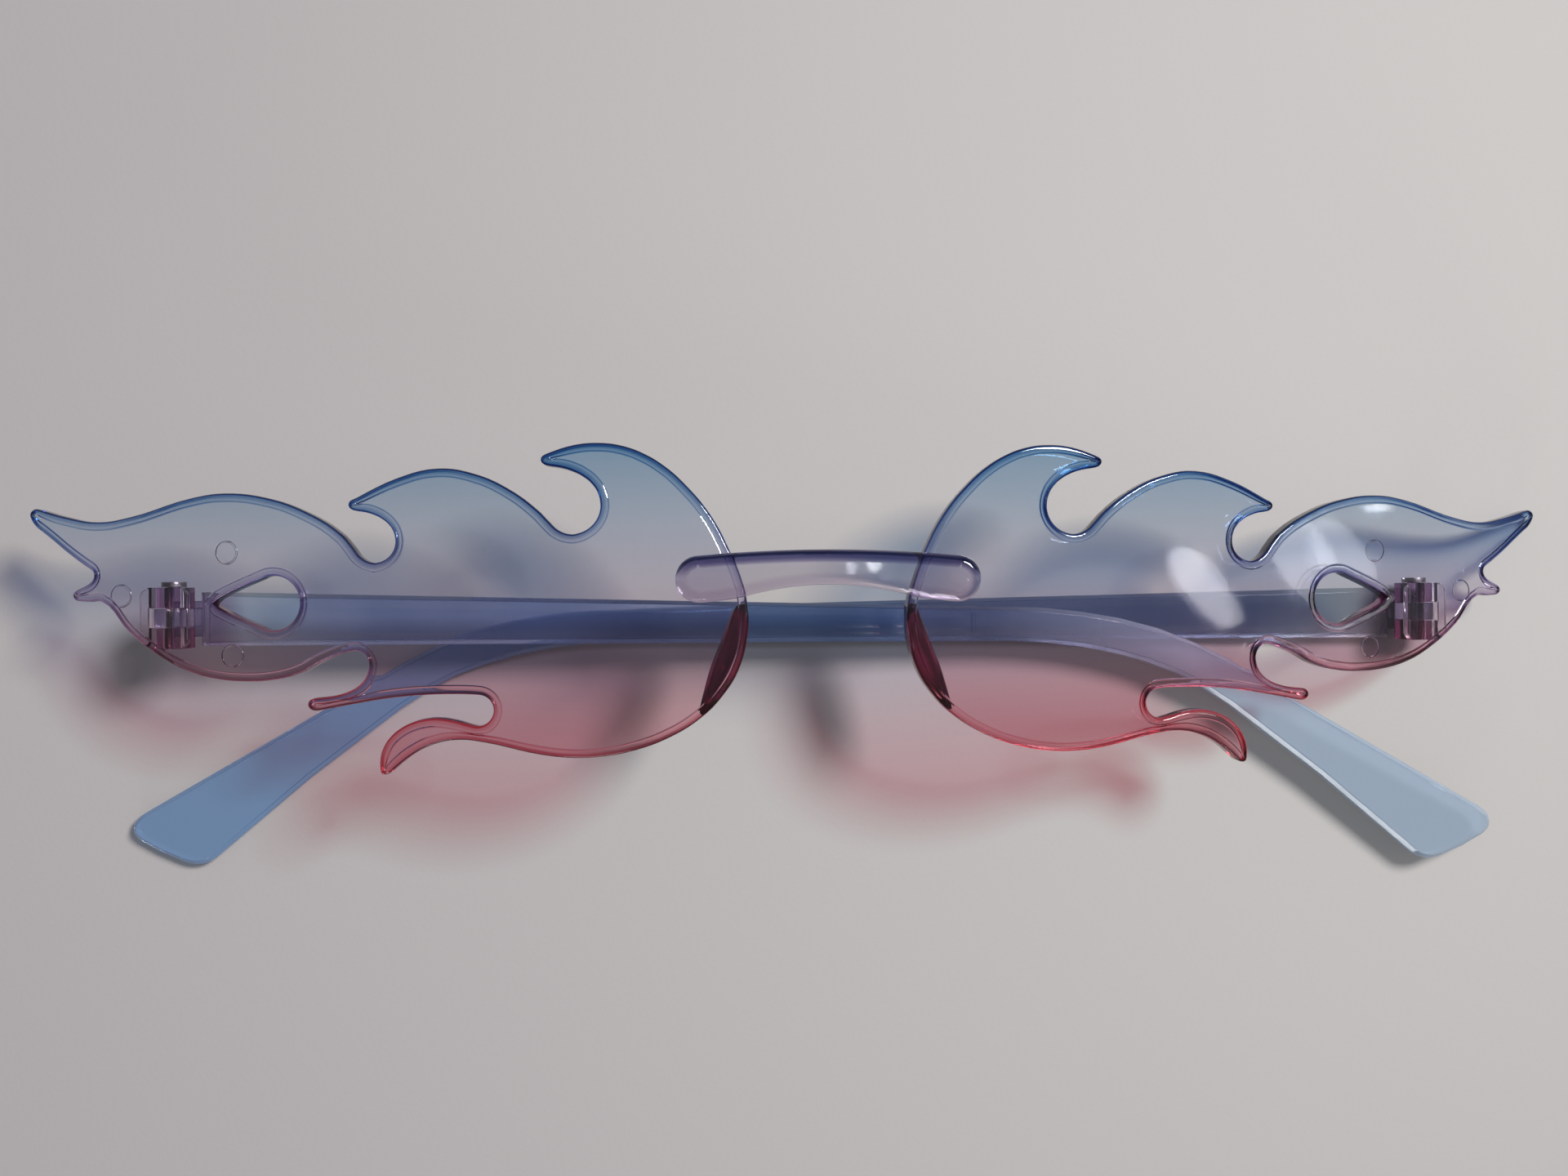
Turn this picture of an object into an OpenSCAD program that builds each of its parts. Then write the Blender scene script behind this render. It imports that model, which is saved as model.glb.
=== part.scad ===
// Rimless flame sunglasses, lying face up with both temples folded.
// X runs along the front, Y points up the wearer's face, Z points up from the table.
// The origin is on the table, under the middle of the bridge, level with the hinges.
// Left and right are as seen from the front of the glasses.

/* [Front] */
// Whole width of the front, from flame point to flame point
front_w = 157.9; // [146:0.1:170]
// Height of one lens, from its top crest to its lowest flame point
lens_h = 31.4; // [28:0.1:36]
// Gap between the two lenses at the nose
nose_gap = 15.3; // [13:0.1:18]
// Radius to which the whole front wraps round the face
face_r = 280; // [220:5:400]
// Thickness of the lens sheet
lens_t = 1.8; // [1.4:0.1:2.4]
// Blunt radius of each flame point
point_r = 0.6; // [0.4:0.05:0.8]
// Film of cement between pieces that are bonded together
bond = 0.05; // [0.02:0.01:0.1]

/* [Teardrop holes] */
// Radius of the round end of each teardrop
drop_r = 2.6; // [2:0.1:3]
// Length of the teardrop from the round end to its point
drop_len = 8.6; // [7:0.1:9.5]
// Distance from the hinge pin to the teardrop's point
drop_from_pin = 5.5; // [5:0.1:6.5]
// Height of the teardrop above the hinge's middle
drop_up = 1.5; // [1:0.1:2]

/* [Ejector marks] */
// Diameter of the round marks that the mould's ejector pins leave
mark_d = 2.1; // [1.5:0.1:2.5]
// Depth of those marks
mark_deep = 0.12; // [0.05:0.01:0.2]

/* [Bridge] */
// Distance between the centres of the bridge's round ends
bridge_span = 24.4; // [23:0.1:27]
// Radius of the bridge's round ends
bridge_end_r = 2.2; // [1.8:0.1:2.6]
// How far the round ends drop below the middle of the bar
bridge_drop = 1.1; // [0.6:0.1:1.6]
// Height of the bar at its middle
bridge_h = 3.3; // [2.6:0.1:3.8]
// Width of the arch under the bar
arch_w = 16.4; // [14:0.1:18]
// Height of the arch's feet over the lowest point of the round ends
arch_foot = 0.5; // [0.2:0.05:0.8]
// How far the bridge stands in front of the lenses
bridge_t = 2; // [1.6:0.1:2.6]

/* [Nose pads] */
// Widest part of the half-moon of each pad, seen from the front
pad_w = 2.7; // [2:0.1:3.2]
// How far each pad stands back from the lens
pad_deep = 5.2; // [4:0.1:5.6]

/* [Hinges] */
// Distance from a lens's outer flame point to its hinge pin
hinge_inset = 14.45; // [13.5:0.05:16]
// How far the hinges sit below the middle of the bridge
hinge_drop = 4.7; // [4:0.1:5.5]
// Radius of the hinge knuckles
knuckle_r = 1.85; // [1.6:0.05:2.1]
// Height of each of the two knuckles on the front
knuckle_h = 2.05; // [1.8:0.05:2.4]
// Height of the temple's knuckle between them
tongue_h = 1.8; // [1.6:0.05:2.2]
// Height of the hinge's base plate on the lens
plate_h = 5.75; // [5:0.05:6.2]
// Thickness of that base plate
plate_t = 0.8; // [0.6:0.05:0.9]
// How far the base plate reaches outwards from the pin
plate_out = 2.7; // [2.5:0.05:2.8]
// How far the base plate reaches inwards from the pin
plate_in = 2.3; // [2:0.05:2.8]
// Corner radius of the base plate
plate_corner = 0.8; // [0.4:0.05:1.2]
// Diameter of the hinge screw's shank
pin_d = 1.2; // [1:0.05:1.4]
// Diameter of the hinge screw's head
head_d = 2.3; // [2:0.05:2.6]
// Height of the screw's head
head_h = 0.5; // [0.4:0.05:0.6]
// Width of the slot in the screw's head
slot_w = 0.3; // [0.2:0.05:0.4]
// Running clearance round the screw in the temple's knuckle
run_gap = 0.05; // [0.03:0.01:0.09]
// Clearance round the screw in the front's knuckles
hold_gap = 0.02; // [0.01:0.01:0.03]
// Clearance between the knuckles' end faces
face_gap = 0.08; // [0.05:0.01:0.12]
// Free space round the turning knuckle and the temple's root
swing_gap = 0.25; // [0.2:0.01:0.35]

/* [Temples] */
// Straight distance from the hinge pin to the temple's tip
temple_reach = 138.2; // [125:0.1:150]
// How far the temple's tip hangs below its top edge
temple_fall = 29.45; // [24:0.05:33]
// Thickness of the temple at its hinge
temple_t = 2.2; // [2:0.05:2.8]
// Thickness of the temple at its tip
tip_t = 1.6; // [1.5:0.05:2.2]
// Bevel along the edges of the temple
temple_bevel = 0.45; // [0.3:0.05:0.6]
// Distance from the pin's axis to the outer face of the temple
temple_out = 3; // [2.9:0.05:3.2]
// Where the moulded seam crosses the temple, from the hinge pin
seam_from_pin = 81; // [70:0.5:90]
// Height of the fine rib that the seam leaves
seam_h = 0.1; // [0.05:0.01:0.2]
// How far the temple's top edge lies below the top of the knuckles at its root
root_drop = 0.48; // [0.2:0.02:0.7]
// How far the temple's heel, which stops it when open, reaches past the pin
heel = 0.38; // [0.1:0.02:0.5]
// Angle at which the inner temple, on the left, is folded
fold_left = -0.8; // [-2:0.1:1]
// Angle at which the outer temple, on the right, is folded
fold_right = 3; // [2:0.1:5]

/* [Hidden] */
$fn = 96;

// Fine enough that the wide cylinders of the wrap stay true
wrap_fn = 720;
// A hair by which a cutting solid passes the face that it cuts
over = 0.5;

// Curves: each knot is [x, y, heading], and a corner has a second heading, the one it leaves by
function leaving(k) = len(k) > 3 ? k[3] : k[2];
function turn_between(a, b) = abs(((b[2] - leaving(a)) % 360 + 540) % 360 - 180);
function pull(turn) = turn < 1 ? 1 / 3 : 2 / 3 * tan(turn / 4) / sin(turn / 2);
function ahead(angle) = [cos(angle), sin(angle)];
function at(k) = [k[0], k[1]];
function bezier(p, t) = let(u = 1 - t)
    u * u * u * p[0] + 3 * u * u * t * p[1] + 3 * u * t * t * p[2] + t * t * t * p[3];
function arm_points(a, b) = let(
    chord = norm(at(b) - at(a)),
    reach = chord * pull(turn_between(a, b)))
    [at(a), at(a) + reach * ahead(leaving(a)), at(b) - reach * ahead(b[2]), at(b)];
function steps(a, b) =
    max(2, ceil(turn_between(a, b) / 15), ceil(norm(at(b) - at(a)) / 5));
function piece(a, b) = let(p = arm_points(a, b), n = steps(a, b))
    [for (i = [0 : n - 1]) bezier(p, i / n)];
function closed_curve(k) =
    [for (i = [0 : len(k) - 1]) each piece(k[i], k[(i + 1) % len(k)])];

// Points of an arc about a centre, from one angle to another
function arc(centre, r, from, to, n) =
    [for (i = [0 : n]) centre + r * ahead(from + (to - from) * i / n)];
// Radius of the arc that spans this width and rises by this much
function arc_r(span, rise) = (span * span / 4 + rise * rise) / (2 * rise);

// One lick of flame on the top edge: round valley, hook, blunt point and crest
function lick(valley, hook, point, crest) = [
    [valley[0], valley[1], 180],
    [valley[0] - hook, valley[1] + hook, 88],
    [point[0] - 1.4 * point_r, point[1] - 1.1 * point_r, 6],
    [point[0], point[1], 96],
    [point[0] - 1.3 * point_r, point[1] + point_r, 156],
    [crest[0], crest[1], 180]];

// The right lens's outline, on its own grid of millimetres with 0 at the bridge's middle
top_edge = concat(
    [[78.85, 5.45, 75], [78, 6.2, 192], [71.3, 4.8, 180], [64.5, 6.15, 164],
        [58, 7.4, 180], [46.2, 3.35, 218]],
    lick([43.1, 0.6], 2.1, [45.55, 6.2], [36.9, 9.5]),
    [[27.3, 5.4, 222]],
    lick([24.3, 3.2], 2.8, [27.1, 10.3], [21.7, 11.8]),
    [[13.7, 8.05, 226], [9.3, 1.5, 250]]);
nose_edge = [[7.7, -3.4, 266], [8.55, -9.7, 296], [12, -14.1, 321]];
low_edge = [[18.9, -17.35, 346], [24, -17.9, 0], [30.2, -16.95, 13], [34.9, -16.2, 0],
    [41.35, -19.2, 316], [42.5, -19.2, 80], [36.9, -14.15, 182], [33.6, -14.85, 195],
    [31.65, -13.4, 92], [33, -11.95, 5], [41, -12.2, 355], [48.6, -13.5, 352],
    [49.6, -12.9, 90], [48.8, -12.3, 176], [43.6, -9.3, 96], [44.9, -7.75, 0],
    [50.4, -9.95, 340], [55.8, -10.75, 0], [64.5, -8.5, 32], [70.9, -3.05, 52, -4],
    [73.4, -2.98, 4], [74.05, -2.4, 94], [73.3, -1.75, 156], [71.75, -0.4, 90],
    [72.7, 0.5, 36], [76.4, 3.15, 42]];

// That grid is stretched so that the lens has its set width and height
grid = closed_curve(concat(top_edge, nose_edge, low_edge));
grid_in = min([for (p = grid) p[0]]);
grid_out = max([for (p = grid) p[0]]);
grid_low = min([for (p = grid) p[1]]);
grid_high = max([for (p = grid) p[1]]);
lens_w = (front_w - nose_gap) / 2;
function stretched(p) = [
    nose_gap / 2 + (p[0] - grid_in) * lens_w / (grid_out - grid_in),
    p[1] * lens_h / (grid_high - grid_low)];
lens_outline = [for (p = grid) stretched(p)];

// The nasal edge alone, with evenly spaced stations for the nose pad
pad_stations = 14;
nose_curve = [for (i = [0 : pad_stations]) let(
    run = (len(nose_edge) - 1) * i / pad_stations,
    k = min(floor(run), len(nose_edge) - 2))
    stretched(bezier(arm_points(nose_edge[k], nose_edge[k + 1]), run - k))];

// Places that follow from the sizes above
hinge_x = front_w / 2 - hinge_inset;
function wrap_z(x, inset = 0) = sqrt(pow(face_r - inset, 2) - x * x) - face_r;
pin_z = wrap_z(hinge_x, lens_t) - knuckle_r - swing_gap;
stack_h = 2 * knuckle_h + tongue_h + 2 * face_gap;
root_s = knuckle_r + swing_gap;
tilt = fold_right;
lift = temple_out + hinge_x * sin(tilt) - pin_z * cos(tilt);

// Puts the front, drawn with the bridge at the origin, where it lies over the table
module placed() {
    translate([0, hinge_drop, lift]) rotate([0, tilt, 0]) children();
}

// Draws children on the right, or mirrored on the left
module on_side(side) {
    mirror([side < 0 ? 1 : 0, 0, 0]) children();
}

// Everything behind a surface that lies this far behind the lens's front face
module wrap_solid(inset) {
    translate([0, -lens_h, -face_r]) rotate([-90, 0, 0])
        cylinder(r = face_r - inset, h = 2 * lens_h, $fn = wrap_fn);
}

// An outline extruded through the whole depth of the wrapped front
module through(shape_z = 1) {
    depth = face_r - sqrt(face_r * face_r - front_w * front_w / 4) + 3 * lens_t;
    translate([0, 0, -depth]) linear_extrude(depth + shape_z) children();
}

module teardrop() {
    len_to_point = drop_len - drop_r;
    lean = acos(drop_r / len_to_point);
    polygon(concat([[len_to_point, 0]], arc([0, 0], drop_r, lean, 360 - lean, 40)));
}

// The lens's three ejector marks, from the hinge pin
lens_marks = [[-6.5, 6.4], [4.6, 2.2], [-7.1, -3.65]];

module lens(side) {
    on_side(side) difference() {
        intersection() {
            through() polygon(lens_outline);
            wrap_solid(0);
        }
        wrap_solid(lens_t);
        through(over) translate([hinge_x - drop_from_pin - drop_len + drop_r, drop_up - hinge_drop])
            teardrop();
        for (m = lens_marks)
            intersection() {
                through() translate([hinge_x + m[0], m[1] - hinge_drop]) circle(d = mark_d);
                wrap_solid(lens_t - mark_deep);
            }
    }
}

module bridge_shape() {
    end_x = bridge_span / 2;
    end_top = bridge_end_r - bridge_drop;
    arch_low = arch_foot - bridge_end_r - bridge_drop;
    top_r = arc_r(bridge_span, bridge_h / 2 - end_top);
    arch_r = arc_r(arch_w, -bridge_h / 2 - arch_low);
    top_half = asin(end_x / top_r);
    arch_half = asin(arch_w / 2 / arch_r);
    polygon(concat(
        arc([0, bridge_h / 2 - top_r], top_r, 90 + top_half, 90 - top_half, 12),
        arc([end_x, -bridge_drop], bridge_end_r, 90 - top_half, -90, 16),
        arc([0, -bridge_h / 2 - arch_r], arch_r, 90 - arch_half, 90 + arch_half, 16),
        arc([-end_x, -bridge_drop], bridge_end_r, 270, 90 + top_half, 16)));
}

module bridge() {
    color("gainsboro", 0.6) placed() difference() {
        translate([0, 0, -over]) linear_extrude(bridge_t + over) bridge_shape();
        wrap_solid(-bond);
    }
}

// Nose pad: a half-moon fin lofted along the nasal edge of the lens.
// Its section is [share of width, share of depth], from the nasal root round the back
pad_section = [[0.04, 0], [1, 0], [0.93, 0.3], [0.8, 0.62], [0.64, 0.9], [0.48, 1],
    [0.34, 0.93], [0.2, 0.66], [0.09, 0.32]];
// Both swell and fade along the pad, and its upper end stays the blunter one
function swell(t, fullness) = pow(sin(18 + 156 * t), fullness);
function pad_width(t) = pad_w * swell(t, 0.75);
function pad_depth(t) = pad_deep * swell(t, 0.6);
function pad_ring(i) = let(
    a = nose_curve[max(0, i - 1)],
    b = nose_curve[min(pad_stations, i + 1)],
    along = (b - a) / norm(b - a),
    inward = [-along[1], along[0]],
    t = i / pad_stations)
    [for (q = pad_section) let(
        p = nose_curve[i] + q[0] * pad_width(t) * inward)
        [p[0], p[1], wrap_z(p[0], lens_t + bond) - q[1] * pad_depth(t)]];

// Joins rings of points into a closed solid, each ring listed the same way round
module loft(rings) {
    n = len(rings[0]);
    m = len(rings);
    polyhedron(
        points = [for (r = rings) each r],
        faces = concat(
            [for (j = [1 : n - 2]) [0, j, j + 1]],
            [for (i = [0 : m - 2], j = [0 : n - 1]) let(k = (j + 1) % n)
                each [[i * n + j, (i + 1) * n + j, i * n + k],
                    [i * n + k, (i + 1) * n + j, (i + 1) * n + k]]],
            [for (j = [1 : n - 2]) [(m - 1) * n, (m - 1) * n + j + 1, (m - 1) * n + j]]));
}

module nose_pad(side) {
    color([0.42, 0.12, 0.22]) placed() on_side(side)
        loft([for (i = [0 : pad_stations]) pad_ring(i)]);
}

// A rectangle with round corners, about the hinge pin
module plate_shape() {
    in = -plate_in;
    out = plate_out;
    half = plate_h / 2;
    translate([in + plate_corner, -half]) square([in * -1 + out - 2 * plate_corner, plate_h]);
    translate([in, -half + plate_corner]) square([out - in, plate_h - 2 * plate_corner]);
    for (x = [in + plate_corner, out - plate_corner], y = [-1, 1])
        translate([x, y * (half - plate_corner)]) circle(r = plate_corner);
}

// A cylinder up the pin's axis, from y0 to y1 measured from the hinge's middle
module on_pin(r, y0, y1) {
    translate([0, y0, 0]) rotate([-90, 0, 0]) cylinder(r = r, h = y1 - y0);
}

// Children drawn about the hinge pin of the right lens
module at_pin() {
    translate([hinge_x, -hinge_drop, pin_z]) children();
}

module hinge_block(side) {
    low = -stack_h / 2;
    high = stack_h / 2;
    rise = -pin_z;
    color([0.42, 0.36, 0.55], 0.8) placed() on_side(side) difference() {
        intersection() {
            wrap_solid(lens_t + bond);
            union() {
                difference() {
                    through() translate([hinge_x, -hinge_drop]) plate_shape();
                    wrap_solid(lens_t + bond + plate_t);
                }
                at_pin() for (y = [low, high - knuckle_h]) {
                    on_pin(knuckle_r, y, y + knuckle_h);
                    translate([-knuckle_r, y, 0]) cube([2 * knuckle_r, knuckle_h, rise]);
                }
            }
        }
        at_pin() {
            on_pin(pin_d / 2 + hold_gap, low - over, high + over);
            on_pin(knuckle_r + swing_gap, -tongue_h / 2 - face_gap, tongue_h / 2 + face_gap);
        }
    }
}

module hinge_screw(side) {
    high = stack_h / 2;
    color("silver") placed() on_side(side) at_pin() difference() {
        union() {
            on_pin(pin_d / 2, -high, high + head_h / 2);
            on_pin(head_d / 2, high + bond, high + bond + head_h);
        }
        translate([-head_d, high + bond + head_h / 2, -slot_w / 2])
            cube([2 * head_d, head_h, slot_w]);
    }
}

// The temple's outline on its own grid: along from the pin, and down from its root's top edge
temple_top = [[2.1, 0, -1], [50, -1.1, -1], [84, -1.75, -2], [105, -5.85, -25],
    [115, -11.3, -30.5], [136.2, -23.5, -30]];
temple_tip = [[138.15, -25.6, -88], [137.2, -27, -146], [132.8, -29.15, -157],
    [129.3, -28.8, -222]];
temple_low = [[112, -14.7, 143], [103, -9.1, 157], [93, -6.25, 171], [81, -5.4, 179],
    [50, -5.35, 180], [2.1, -5.45, 180, 90]];
root_knot = [[2.1, 0, 90, -1]];
temple_grid = closed_curve(concat(root_knot, [for (i = [1 : len(temple_top) - 1]) temple_top[i]],
    temple_tip, temple_low));
temple_grid_s = max([for (p = temple_grid) p[0]]);
temple_grid_y = -min([for (p = temple_grid) p[1]]);
root_top = stack_h / 2 - root_drop;
function temple_point(p) = [
    root_s + (p[0] - temple_top[0][0]) * (temple_reach - root_s)
        / (temple_grid_s - temple_top[0][0]),
    root_top + p[1] * temple_fall / temple_grid_y];
// The grid's last point only halves the root's straight edge, so it is left out
temple_outline = [for (i = [0 : len(temple_grid) - 2]) temple_point(temple_grid[i])];
root_low = temple_point(temple_low[len(temple_low) - 1])[1];

// The outline drawn in by a step, for the bevels
function drawn_in(points, step) = [for (i = [0 : len(points) - 1]) let(
    a = points[(i + len(points) - 1) % len(points)],
    b = points[(i + 1) % len(points)],
    along = (b - a) / norm(b - a))
    points[i] + step * [along[1], -along[0]]];
function inner_face(s) = temple_out - temple_t
    + (temple_t - tip_t) * (s - root_s) / (temple_reach - root_s);

// Top and bottom edge of the temple's straight run at this distance from the pin
function run_y(a, b, s) = a[1] + (b[1] - a[1]) * (s - a[0]) / (b[0] - a[0]);
seam_top = run_y(temple_point(temple_top[1]), temple_point(temple_top[2]), seam_from_pin);
seam_low = run_y(temple_point(temple_low[3]), temple_point(temple_low[4]), seam_from_pin);

function ring_at(points, depth) = [for (p = points) [p[0], p[1], depth]];
function ring_in(points, depth) = [for (p = points) [p[0], p[1], inner_face(p[0]) + depth]];

// Fills an outline with triangles from the root on, taking its top or low edge's next point in turn
function filled(points, top, low) = low - top < 2 ? []
    : points[top + 1][0] < points[low - 1][0]
        ? concat([[top, top + 1, low]], filled(points, top + 1, low))
        : concat([[top, low - 1, low]], filled(points, top, low - 1));

// The temple's bar, bevelled on all its long edges, with its outer face flat
module temple_bar() {
    n = len(temple_outline);
    drawn = drawn_in(temple_outline, temple_bevel);
    face = filled(drawn, 0, n - 1);
    rings = [
        ring_in(drawn, 0),
        ring_in(temple_outline, temple_bevel),
        ring_at(temple_outline, temple_out - temple_bevel),
        ring_at(drawn, temple_out)];
    polyhedron(
        points = [for (r = rings) each r],
        faces = concat(
            [for (f = face) [f[2], f[1], f[0]]],
            [for (i = [0 : 2], j = [0 : n - 1]) let(k = (j + 1) % n)
                each [[i * n + j, i * n + k, (i + 1) * n + j],
                    [i * n + k, (i + 1) * n + k, (i + 1) * n + j]]],
            [for (f = face) [for (j = f) 3 * n + j]]));
}

// The temple about its own pin: along X from the pin, outer face towards +Z
module temple_shape() {
    difference() {
        union() {
            temple_bar();
            translate([0, -tongue_h / 2, temple_out - temple_t + temple_bevel])
                cube([root_s + over, tongue_h, temple_t - 2 * temple_bevel]);
            translate([-heel, root_low + 2 * temple_bevel, knuckle_r + swing_gap])
                cube([root_s + heel + over, root_top - root_low - 4 * temple_bevel,
                    temple_out - temple_bevel - knuckle_r - swing_gap]);
            rotate([-90, 0, 0]) translate([0, 0, -tongue_h / 2])
                cylinder(r = knuckle_r, h = tongue_h);
            translate([seam_from_pin - 2 * seam_h, seam_low + 2 * temple_bevel,
                inner_face(seam_from_pin) - seam_h])
                cube([4 * seam_h, seam_top - seam_low - 4 * temple_bevel, temple_bevel]);
        }
        rotate([-90, 0, 0]) translate([0, 0, -tongue_h])
            cylinder(d = pin_d + 2 * run_gap, h = 2 * tongue_h);
    }
}

// A temple folded by its angle: it points from its pin across to the other side
module temple(side, fold) {
    color("steelblue", 0.85) placed() on_side(side) at_pin()
        rotate([0, 180 - fold, 0]) temple_shape();
}

module lens_left() color("slateblue", 0.7) placed() lens(-1);
module lens_right() color("slateblue", 0.7) placed() lens(1);
module nose_pad_left() nose_pad(-1);
module nose_pad_right() nose_pad(1);
module hinge_block_left() hinge_block(-1);
module hinge_block_right() hinge_block(1);
module hinge_screw_left() hinge_screw(-1);
module hinge_screw_right() hinge_screw(1);
module temple_left() temple(-1, fold_left);
module temple_right() temple(1, fold_right);

lens_left();
lens_right();
bridge();
nose_pad_left();
nose_pad_right();
hinge_block_left();
hinge_block_right();
hinge_screw_left();
hinge_screw_right();
temple_left();
temple_right();
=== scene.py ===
# %% [markdown]
# # Rimless flame sunglasses
# A pair of rimless sunglasses lies face up on pale paper with both temples folded. The lenses
# are cut to a flame outline and dyed from blue at the top to pink at the bottom. The measured
# model gives every place and size. This lesson makes the pieces that show, with rounded edges
# and dyed plastic, and hangs each one on the body that it moves with.

# %% Load the measured frame
import bpy
import math
import numpy as np
from mathutils import Matrix, Vector


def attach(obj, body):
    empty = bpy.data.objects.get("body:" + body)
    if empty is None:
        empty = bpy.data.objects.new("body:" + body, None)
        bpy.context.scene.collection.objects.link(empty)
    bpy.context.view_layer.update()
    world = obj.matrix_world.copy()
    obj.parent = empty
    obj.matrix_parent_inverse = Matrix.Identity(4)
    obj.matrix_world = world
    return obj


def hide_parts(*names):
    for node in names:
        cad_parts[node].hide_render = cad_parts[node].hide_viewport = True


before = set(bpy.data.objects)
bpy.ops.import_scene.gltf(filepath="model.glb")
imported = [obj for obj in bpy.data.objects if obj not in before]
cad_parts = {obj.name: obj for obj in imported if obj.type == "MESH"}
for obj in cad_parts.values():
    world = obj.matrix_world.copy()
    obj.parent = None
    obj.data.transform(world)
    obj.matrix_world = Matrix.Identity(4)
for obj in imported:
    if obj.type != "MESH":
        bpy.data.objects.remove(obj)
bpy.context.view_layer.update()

MM = 0.001

# %% [markdown]
# ## Camera
# By its perspective the photograph was taken about 126 mm above the paper, nearly straight down
# and a little left of the bridge. That close view spreads the outer flame points, so the same
# place and a lens as wide are needed: a longer one from further off would flatten the curve.

# %% Camera at the photograph's place
EYE = (-6.08 * MM, 2.75 * MM, 126.05 * MM)
EYE_LEAN, EYE_TURN = math.radians(-1.0), math.radians(-0.23)
FILM_WIDTH, FOCAL_LENGTH = 36, 26.25
NEAREST = 5 * MM

camera_data = bpy.data.cameras.new("view")
camera_data.sensor_width = FILM_WIDTH
camera_data.lens = FOCAL_LENGTH
camera_data.clip_start = NEAREST
camera = bpy.data.objects.new("view", camera_data)
bpy.context.collection.objects.link(camera)
camera.location = EYE
camera.rotation_euler = (0, EYE_LEAN, EYE_TURN)
bpy.context.scene.camera = camera
print("camera stands", round(camera.location.z / MM), "mm over the paper")

# %% [markdown]
# ## The front's own axes
# The front is tipped 3 degrees, because its right side lies on the outer temple. Curving and
# rounding a lens is far simpler upright, so each piece is turned upright, worked on, and
# turned back. Both moves are one matrix and its inverse.

# %% Matrices between the tipped front and its upright drawing
TIP = math.radians(3)
HINGE_DROP = 4.7 * MM
LIFT = 17.84 * MM
to_row = Matrix.Translation((0, HINGE_DROP, LIFT)) @ Matrix.Rotation(TIP, 4, "Y")
to_upright = to_row.inverted()
print("front is lifted", round(LIFT / MM, 2), "mm and tipped", round(math.degrees(TIP)), "degrees")

# %% [markdown]
# ## Copies to work on
# An operator acts on all that is selected, so one piece at a time is taken in hand. The measured
# meshes are loose triangles and are left alone, and each new piece starts as a merged copy.
# Clear plastic only bends light rightly inside a closed skin, so the edges of every finished
# piece are counted: none may join more or fewer than two faces.

# %% Take a piece, copy a measured one, count its open edges
WELD = 0.001 * MM


def deselect_all():
    for obj in bpy.context.selected_objects:
        obj.select_set(False)


def take(obj):
    """Make one object the only selected one, and the active one."""
    deselect_all()
    obj.select_set(True)
    bpy.context.view_layer.objects.active = obj


def merged_copy(node, name):
    """A copy of a measured node's mesh as a new object, with its loose triangles merged."""
    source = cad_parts[node]
    obj = bpy.data.objects.new(name, source.data.copy())
    bpy.context.collection.objects.link(obj)
    obj.data.materials.clear()
    take(obj)
    bpy.ops.object.mode_set(mode="EDIT")
    bpy.ops.mesh.select_all(action="SELECT")
    bpy.ops.mesh.remove_doubles(threshold=WELD)
    bpy.ops.object.mode_set(mode="OBJECT")
    return obj


def open_edges(obj):
    """How many edges of a mesh don't join exactly two faces."""
    uses = {}
    for face in obj.data.polygons:
        for edge in face.edge_keys:
            uses[edge] = uses.get(edge, 0) + 1
    return sum(1 for times in uses.values() if times != 2)


def report(piece):
    print(piece.name, "faces", len(piece.data.polygons), "open edges", open_edges(piece))


print("measured meshes to copy:", sorted(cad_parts))

# %% [markdown]
# ## Lenses
# A real lens is a thin curved sheet, moulded and then dyed, with a round rim. That rim is what
# shows as a dark line with a bright one inside it. Bevelling the measured solid would pinch at
# the flame points. A flat filled curve can be given a round rim at any outline, holes included,
# so the measured outline becomes such a curve, and the finished plate is then bent to the face.

# %% Smooth curve along a measured outline
STRAIGHT = math.radians(0.6)
CURVE_STEPS = 5


def select_where(obj, keep):
    """Select the points that pass a test, and the edges and faces that lie between them."""
    points = obj.data.vertices
    for point in points:
        point.select = keep(point.co)
    for parts in (obj.data.edges, obj.data.polygons):
        for part in parts:
            part.select = all(points[i].select for i in part.vertices)


def outline_curve(obj, keep, name):
    """Turn the border of the kept faces of a mesh into a smooth flat curve."""
    take(obj)
    select_where(obj, keep)
    bpy.ops.object.mode_set(mode="EDIT")
    bpy.ops.mesh.select_mode(type="FACE")
    bpy.ops.mesh.select_all(action="INVERT")
    bpy.ops.mesh.delete(type="FACE")
    bpy.ops.mesh.select_all(action="SELECT")
    bpy.ops.mesh.region_to_loop()
    bpy.ops.mesh.select_all(action="INVERT")
    bpy.ops.mesh.delete(type="EDGE")
    bpy.ops.object.mode_set(mode="OBJECT")
    for vert in obj.data.vertices:
        vert.co.z = 0
    bpy.ops.object.mode_set(mode="EDIT")
    bpy.ops.mesh.select_all(action="SELECT")
    bpy.ops.mesh.dissolve_limited(angle_limit=STRAIGHT)
    bpy.ops.object.mode_set(mode="OBJECT")
    bpy.ops.object.convert(target="CURVE")
    bpy.ops.object.mode_set(mode="EDIT")
    bpy.ops.curve.select_all(action="SELECT")
    bpy.ops.curve.spline_type_set(type="BEZIER")
    bpy.ops.curve.handle_type_set(type="AUTOMATIC")
    bpy.ops.object.mode_set(mode="OBJECT")
    obj.data.resolution_u = CURVE_STEPS
    obj.name = name
    print(name, "outline has knots", [len(spline.bezier_points) for spline in obj.data.splines])
    return obj


# %% [markdown]
# The teardrop hole ends in a point. A smooth curve would swing wide there, so the knots at the
# point, which have long sides both ways, get short handles. The curve is then filled to a
# plate, and its bevel makes the round rim on both sides.

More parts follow.
